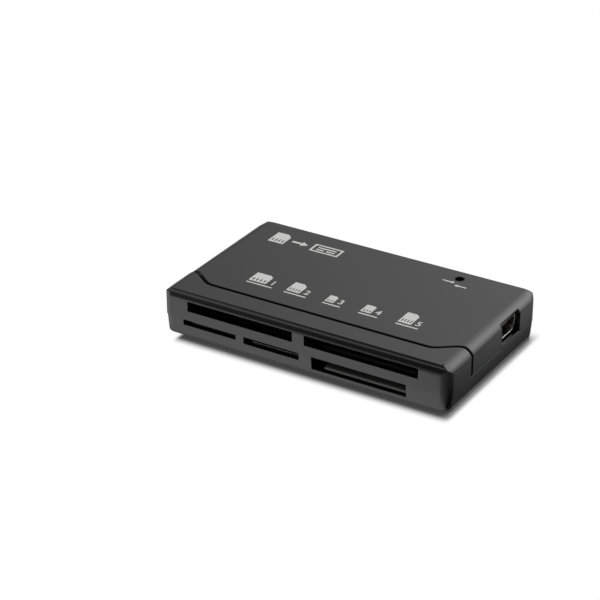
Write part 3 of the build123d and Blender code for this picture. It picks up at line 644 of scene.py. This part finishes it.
beside_case = add(tree, "ShaderNodeMath", links={0: (wing, "Result"), 1: (elsewhere, "Value")},
                  operation="MAXIMUM")
level = add(tree, "ShaderNodeMath", links={0: (near, "Result"), 1: (beside_case, "Value")},
            operation="MULTIPLY")
far = add(tree, "ShaderNodeMapRange", {"From Min": wing_width * mm, "From Max": rim_width * mm},
          {"Value": (aside, "Value")})
shade = add(tree, "ShaderNodeMix", {"B": (rim_tone, rim_tone, rim_tone, 1)},
            {0: (far, "Result"), "A": (tones, "Color")}, data_type="RGBA")
glow = add(tree, "ShaderNodeEmission", links={"Color": (shade, "Result"), "Strength": (level, "Value")})
add(tree, "ShaderNodeOutputMaterial", links={"Surface": (glow, "Emission")})
table_card.data.materials.append(shaded)
print("card finish:", shaded.name)

# %% [markdown]
# ## The room
# Rays that light surfaces meet an even, weak fill. Rays that the gloss mirrors meet a dim room with soft
# lights in it: a wide glow behind on the right, with a fainter foot on the horizon, which runs along the
# rolled right edge, and a narrow strip in front on the left, which puts a pale line on the curved brow over
# the slots.

# %% A soft patch of light
patch_depth = 1.5  # along the line of sight, where it only has to be wide enough
world = bpy.data.worlds.new("studio")
bpy.context.scene.world = world
world.use_nodes = True
tree = world.node_tree
tree.nodes.clear()


def soft_light(way, azimuth, elevation, tilt, width, height, strength):
    """A soft oval patch of light on the world, at that azimuth from +Y to +X, sized in degrees."""
    turned = (Matrix.Rotation(math.radians(-azimuth), 4, "Z")
              @ Matrix.Rotation(math.radians(elevation), 4, "X")
              @ Matrix.Rotation(math.radians(tilt), 4, "Y"))
    spread = (2 * math.sin(math.radians(width / 2)), patch_depth, 2 * math.sin(math.radians(height / 2)))
    patch = add(tree, "ShaderNodeMapping",
                {"Location": turned @ Vector((0, 1, 0)), "Rotation": turned.to_euler(), "Scale": spread},
                {"Vector": way}, vector_type="TEXTURE")
    apart = add(tree, "ShaderNodeVectorMath", links={0: (patch, "Vector")}, operation="LENGTH")
    return add(tree, "ShaderNodeMapRange", {"To Min": strength, "To Max": 0.0}, {"Value": (apart, "Value")},
               interpolation_type="SMOOTHSTEP")


print("world:", world.name)

# %% What the gloss mirrors in the room
place = add(tree, "ShaderNodeTexCoord")
split = add(tree, "ShaderNodeSeparateXYZ", links={"Vector": (place, "Generated")})
left_tone, right_tone, back_tone = 0.40, 0.08, 0.35
front = add(tree, "ShaderNodeMapRange",
            {"From Min": -0.7, "From Max": -0.4, "To Min": left_tone, "To Max": right_tone},
            {"Value": (split, "X")})
turned_back = add(tree, "ShaderNodeMapRange", {"From Min": -0.2, "From Max": 0.2}, {"Value": (split, "Y")})
room = add(tree, "ShaderNodeMix", {"B": back_tone},
           {"Factor": (turned_back, "Result"), "A": (front, "Result")}, data_type="FLOAT")
mirrored = (room, "Result")
for azimuth, elevation, tilt, width, height, brightness in (
        (21, 29, 14, 58, 30, 2.5),  # wide glow behind on the right
        (25, -8, 0, 45, 28, 0.5),  # its foot on the horizon
        (-147, 30, 0, 60, 11, 0.8)):  # strip in front on the left
    patch = soft_light((place, "Generated"), azimuth, elevation, tilt, width, height, brightness)
    brighter = add(tree, "ShaderNodeMath", links={0: mirrored, 1: (patch, "Result")}, operation="ADD")
    mirrored = (brighter, "Value")
print("room tones", left_tone, right_tone, back_tone)

# %% Choose by the kind of ray
fill_strength = 0.13
lighting = add(tree, "ShaderNodeMix", {"A": fill_strength},
               {"Factor": seen_by(tree, "Is Glossy Ray", "Is Transmission Ray"), "B": mirrored},
               data_type="FLOAT")
strength = add(tree, "ShaderNodeMix", {"B": 1.0},
               {"Factor": seen_by(tree, "Is Camera Ray"), "A": (lighting, "Result")}, data_type="FLOAT")
sky = add(tree, "ShaderNodeBackground", links={"Strength": (strength, "Result")})
add(tree, "ShaderNodeOutputWorld", links={"Surface": (sky, "Background")})
print("world fill", fill_strength)

# %% [markdown]
# ## The lamp
# One wide panel overhead, a little behind and to the left, lights the paper and the print. Its size makes the
# shadow soft, and its place lets the shadow show only in front and on the right. Reflections don't show it,
# so that it draws no hard line along the brow.

# %% Overhead panel
panel_place = Vector((-0.12, 0.50, 1.15))  # m
panel_width, panel_depth = 0.7, 0.8  # m
panel_radiance = 7.8
lamp = bpy.data.lights.new("overhead_panel", "AREA")
lamp.shape = "RECTANGLE"
lamp.size, lamp.size_y = panel_width, panel_depth
lamp.energy = panel_radiance * math.pi * panel_width * panel_depth
holder = bpy.data.objects.new("overhead_panel", lamp)
holder.location = panel_place
holder.rotation_mode = "QUATERNION"
holder.rotation_quaternion = (-panel_place).to_track_quat("-Z", "Y")
holder.visible_camera = False
holder.visible_glossy = False
bpy.context.scene.collection.objects.link(holder)
print("lamp:", holder.name, round(lamp.energy, 1), "W")

# %% [markdown]
# ## The camera
# It looks down on the front right corner from half a metre away through a long lens, which keeps the long
# edges nearly parallel.

# %% Camera
camera_place = (209.9, -361.35, 227.3)  # mm
camera_yaw, camera_fall, camera_roll = 31.66, 27.68, -0.21  # degrees
lens = bpy.data.cameras.new("camera")
lens.lens = 128.9
lens.sensor_width = 36.0
lens.clip_start, lens.clip_end = 0.01, 20.0
camera = bpy.data.objects.new("camera", lens)
turn = (Matrix.Rotation(math.radians(camera_yaw), 4, "Z")
        @ Matrix.Rotation(math.radians(90 - camera_fall), 4, "X")
        @ Matrix.Rotation(math.radians(camera_roll), 4, "Z"))
camera.matrix_world = Matrix.Translation(Vector(camera_place) * mm) @ turn
bpy.context.scene.collection.objects.link(camera)
bpy.context.scene.camera = camera
bpy.context.scene.view_settings.view_transform = "Standard"
print("camera at", camera_place, "mm")
